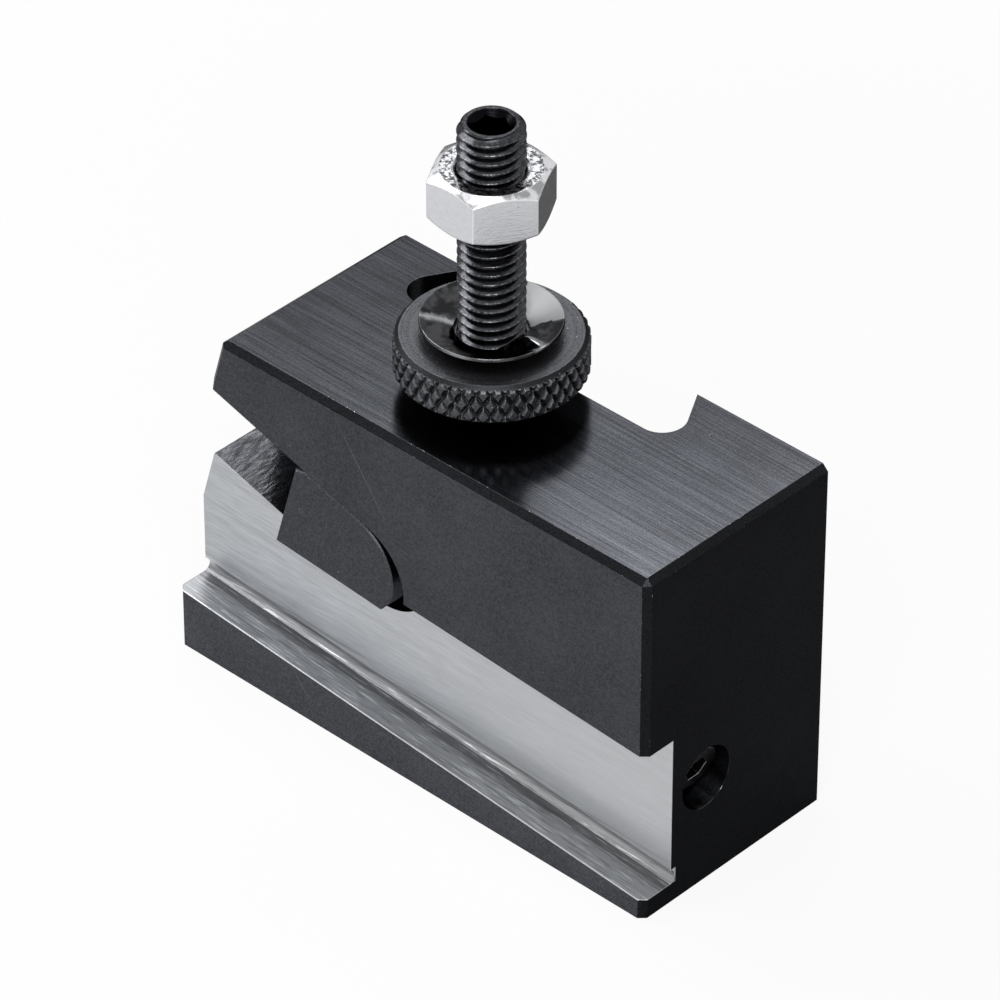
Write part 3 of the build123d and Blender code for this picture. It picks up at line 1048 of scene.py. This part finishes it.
WHITE_FLOOR = (0.11, 0.24)
NEAR_WHITENESS = 0.9
DIM_FLOOR = (0.05, 0.08)
DIM_STRENGTH = 0.12
WHITE = (1.0, 1.0, 1.0, 1.0)
AMBIENT = 0.15
CLIP_START = 10 * MM
LAMP_AIM = Vector((0, 0, 0.03))
LAMPS = (
    ("key", (-0.34, -0.10, 0.36), (0.26, 0.26), 1.15),
    ("front", (0.24, -0.30, 0.40), (0.28, 0.28), 1.8),
    ("top", (-0.02, -0.02, 0.60), (0.16, 0.16), 0.45),
    ("back", (-0.25, 0.27, 0.47), (0.20, 0.17), 0.45),
)


def floor_material():
    """Pale floor that is white away from the part, and dim behind the part in metal."""
    colours = bpy.context.scene.holder_colours
    material, tree, shader = new_material("pale_floor", metallic=0.0)
    feed(tree, shader.inputs["Base Color"], solid(colours.floor))
    shader.inputs["Roughness"].default_value = 0.9
    shader.inputs["Specular IOR Level"].default_value = 0.0
    coordinates = tree.nodes.new("ShaderNodeTexCoord").outputs["Object"]
    far = ramp(tree, vector(tree, "LENGTH", coordinates), *WHITE_FLOOR)
    rays = tree.nodes.new("ShaderNodeLightPath").outputs
    seen = times(tree, rays["Is Camera Ray"], level(tree, far, NEAR_WHITENESS, 1.0))
    mirrored = most(tree, rays["Is Glossy Ray"], rays["Is Transmission Ray"])
    backwards = ramp(tree, axes(tree, coordinates)[1], *DIM_FLOOR)
    behind = times(tree, backwards, rays["Is Glossy Ray"])
    share = most(tree, seen, times(tree, mirrored, far), behind)
    strength = level(tree, behind, 1.0, DIM_STRENGTH)
    glow = put(tree, "ShaderNodeEmission", WHITE, strength).outputs[0]
    both = put(tree, "ShaderNodeMixShader", share, shader.outputs[0], glow).outputs[0]
    tree.links.new(both, tree.nodes["Material Output"].inputs["Surface"])
    return material


# Operators


class HOLDER_OT_shared_effects(bpy.types.Operator):
    """Build the node groups that the finishes share"""

    bl_idname = "holder.shared_effects"
    bl_label = "Shared Effects"

    def execute(self, context):
        build_edge_wear()
        build_face_values()
        build_tool_marks()
        build_turning()
        build_speckle()
        build_hairline()
        return {"FINISHED"}


class HOLDER_OT_height_stud(bpy.types.Operator):
    """Model the threaded stud with its chamfered ends and hexagon socket"""

    bl_idname = "holder.height_stud"
    bl_label = "Height Stud"

    def execute(self, context):
        threads = context.scene.holder_threads
        low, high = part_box("height_stud")
        radius = (high.x - low.x) / 2
        tall = high.z - low.z
        stud = thread("threaded_stud", radius, threads.stud_pitch, tall, threads.steps)
        outline = cylinder("outline", radius, 0, tall)
        apply_modifier(
            outline, "BEVEL", width=threads.stud_chamfer, segments=1, limit_method="ANGLE"
        )
        combine(stud, outline, "INTERSECT")
        sink_socket(
            stud, tall, threads.stud_socket, threads.stud_socket_depth, threads.stud_lead_in
        )
        stud.location = ((low.x + high.x) / 2, (low.y + high.y) / 2, low.z)
        smooth(settle(stud))
        stud.data.materials.append(thread_material())
        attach(stud, "block")
        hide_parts("height_stud")
        return {"FINISHED"}


class HOLDER_OT_folded_washer(bpy.types.Operator):
    """Model the wavy washer with its three soft folds"""

    bl_idname = "holder.folded_washer"
    bl_label = "Folded Washer"

    def execute(self, context):
        washer = context.scene.holder_washer
        low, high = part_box("wave_washer")
        middle = (low + high) / 2
        rim = (high.x - low.x) / 2
        plain = high.z - low.z - washer.thickness
        tallest = plain + washer.lift
        piece = self.flat_rings(washer, rim)
        folds = (
            (washer.first_fold, tallest),
            (washer.second_fold, plain),
            (washer.third_fold, plain),
        )
        for turn, crest in folds:
            self.draw_up(piece, washer, rim, turn, crest)
        heights = [vertex.co.z for vertex in piece.data.vertices]
        flatten = tallest / (max(heights) - min(heights))
        base = low.z + washer.thickness / 2 - flatten * min(heights)
        piece.scale = (1, 1, flatten)
        piece.location = (middle.x, middle.y, base)
        settle(piece)
        apply_modifier(piece, "SUBSURF", levels=2, render_levels=2)
        apply_modifier(piece, "SOLIDIFY", thickness=washer.thickness, offset=0.0)
        bpy.ops.object.mode_set(mode="EDIT")
        bpy.ops.mesh.select_all(action="SELECT")
        bpy.ops.mesh.normals_make_consistent(inside=False)
        bpy.ops.object.mode_set(mode="OBJECT")
        rounding = washer.thickness / 5
        apply_modifier(piece, "BEVEL", width=rounding, segments=2, limit_method="ANGLE")
        smooth(piece)
        piece.data.materials.append(washer_material())
        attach(piece, "washer")
        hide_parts("wave_washer")
        return {"FINISHED"}

    def flat_rings(self, washer, rim):
        """A flat sheet of rings from the hole to the rim."""
        deselect()
        reach = washer.bore / 2
        bpy.ops.mesh.primitive_circle_add(
            vertices=washer.sides, radius=reach, fill_type="NOTHING"
        )
        piece = added("folded_washer")
        bpy.ops.object.mode_set(mode="EDIT")
        bpy.ops.mesh.select_all(action="SELECT")
        for ring in range(1, washer.rings + 1):
            wider = washer.bore / 2 + (rim - washer.bore / 2) * ring / washer.rings
            scale = wider / reach
            bpy.ops.mesh.extrude_edges_move()
            bpy.ops.transform.resize(value=(scale, scale, 1), center_override=(0, 0, 0))
            reach = wider
        bpy.ops.object.mode_set(mode="OBJECT")
        return piece

    def draw_up(self, piece, washer, rim, turn, crest):
        """Lifts one fold's crest, and the sheet round it less and less."""
        along = Vector((cos(turn), sin(turn), 0))
        for vertex in piece.data.vertices:
            aside = vertex.co.xy.to_3d().cross(along).length
            outer = vertex.co.dot(along) > CREST_START * rim
            vertex.select = outer and aside < washer.fold
        bpy.ops.object.mode_set(mode="EDIT")
        bpy.ops.transform.translate(
            value=(0, 0, crest),
            use_proportional_edit=True,
            proportional_edit_falloff="LINEAR",
            proportional_size=washer.spread,
        )
        bpy.ops.object.mode_set(mode="OBJECT")


class HOLDER_OT_finishes(bpy.types.Operator):
    """Give the machined pieces their finishes"""

    bl_idname = "holder.finishes"
    bl_label = "Machined Finishes"

    def execute(self, context):
        colours = context.scene.holder_colours
        wedge = black_steel_material(
            "wedge_black", colours.black_steel, roughness=0.2, wear=0.0, nick_level=0.63
        )
        screw = black_steel_material(
            "screw_black", colours.oiled_steel, roughness=0.16, wear=0.7, nick_level=0.62
        )
        dress("holder_body", block_material())
        dress("wedge_clamp", wedge)
        dress("clamp_screw", screw)
        dress("knurled_height_nut", knurl_material())
        dress("lock_nut", zinc_material())
        return {"FINISHED"}


class HOLDER_OT_stage(bpy.types.Operator):
    """Set the floor, the lamps, the world and the camera"""

    bl_idname = "holder.stage"
    bl_label = "Stage"

    def execute(self, context):
        stage = context.scene.holder_stage
        deselect()
        bpy.ops.mesh.primitive_circle_add(
            vertices=128, radius=stage.floor_radius, fill_type="NGON"
        )
        floor = settle(added("floor"))
        floor.data.materials.append(floor_material())
        for name, place, size, power in LAMPS:
            bpy.ops.object.light_add(type="AREA", location=place)
            lamp = bpy.context.object
            lamp.name = name
            lamp.data.shape = "RECTANGLE"
            lamp.data.size, lamp.data.size_y = size
            lamp.data.energy = power
            lamp.rotation_euler = (LAMP_AIM - Vector(place)).to_track_quat("-Z", "Y").to_euler()
        self.make_world(context)
        self.make_camera(context, stage)
        context.scene.view_settings.view_transform = "Standard"
        return {"FINISHED"}

    def make_world(self, context):
        """White where it is seen or mirrored, and a soft fill light elsewhere."""
        world = bpy.data.worlds.new("studio")
        world.use_nodes = True
        context.scene.world = world
        tree = world.node_tree
        rays = tree.nodes.new("ShaderNodeLightPath").outputs
        seen = most(
            tree, rays["Is Camera Ray"], rays["Is Glossy Ray"], rays["Is Transmission Ray"]
        )
        background = tree.nodes["Background"]
        background.inputs["Color"].default_value = WHITE
        feed(tree, background.inputs["Strength"], level(tree, seen, AMBIENT, 1.0))

    def make_camera(self, context, stage):
        turn, rise = stage.azimuth, stage.elevation
        back = Vector((sin(turn) * cos(rise), -cos(turn) * cos(rise), sin(rise)))
        right = Vector((cos(turn), sin(turn), 0))
        up = back.cross(right)
        aim = Vector((0, 0, stage.aim_height)) + right * stage.aim_right + up * stage.aim_up
        bpy.ops.object.camera_add(location=aim + back * stage.distance)
        camera = bpy.context.object
        camera.rotation_euler = Matrix((right, up, back)).transposed().to_euler()
        camera.data.lens = stage.lens
        camera.data.clip_start = CLIP_START
        context.scene.camera = camera


class HOLDER_PT_panel(bpy.types.Panel):
    bl_label = "Holder"
    bl_idname = "HOLDER_PT_panel"
    bl_space_type = "VIEW_3D"
    bl_region_type = "UI"
    bl_category = "Holder"

    def draw(self, context):
        for operator in OPERATORS:
            self.layout.operator(operator.bl_idname)
        for name in PROPERTIES:
            box = self.layout.box()
            group = getattr(context.scene, name)
            for key in group.bl_rna.properties.keys():
                if key not in ("rna_type", "name"):
                    box.prop(group, key)


OPERATORS = (
    HOLDER_OT_shared_effects,
    HOLDER_OT_height_stud,
    HOLDER_OT_folded_washer,
    HOLDER_OT_finishes,
    HOLDER_OT_stage,
)
PROPERTIES = {
    "holder_threads": HolderThreads,
    "holder_washer": HolderWasher,
    "holder_colours": HolderColours,
    "holder_slot": HolderSlot,
    "holder_stage": HolderStage,
}


def register():
    for name, group in PROPERTIES.items():
        bpy.utils.register_class(group)
        setattr(bpy.types.Scene, name, PointerProperty(type=group))
    for operator in OPERATORS:
        bpy.utils.register_class(operator)
    bpy.utils.register_class(HOLDER_PT_panel)


def unregister():
    bpy.utils.unregister_class(HOLDER_PT_panel)
    for operator in reversed(OPERATORS):
        bpy.utils.unregister_class(operator)
    for name, group in PROPERTIES.items():
        delattr(bpy.types.Scene, name)
        bpy.utils.unregister_class(group)


def main():
    register()
    bpy.ops.holder.shared_effects()
    bpy.ops.holder.height_stud()
    bpy.ops.holder.folded_washer()
    bpy.ops.holder.finishes()
    bpy.ops.holder.stage()


if __name__ == "__main__":
    main()
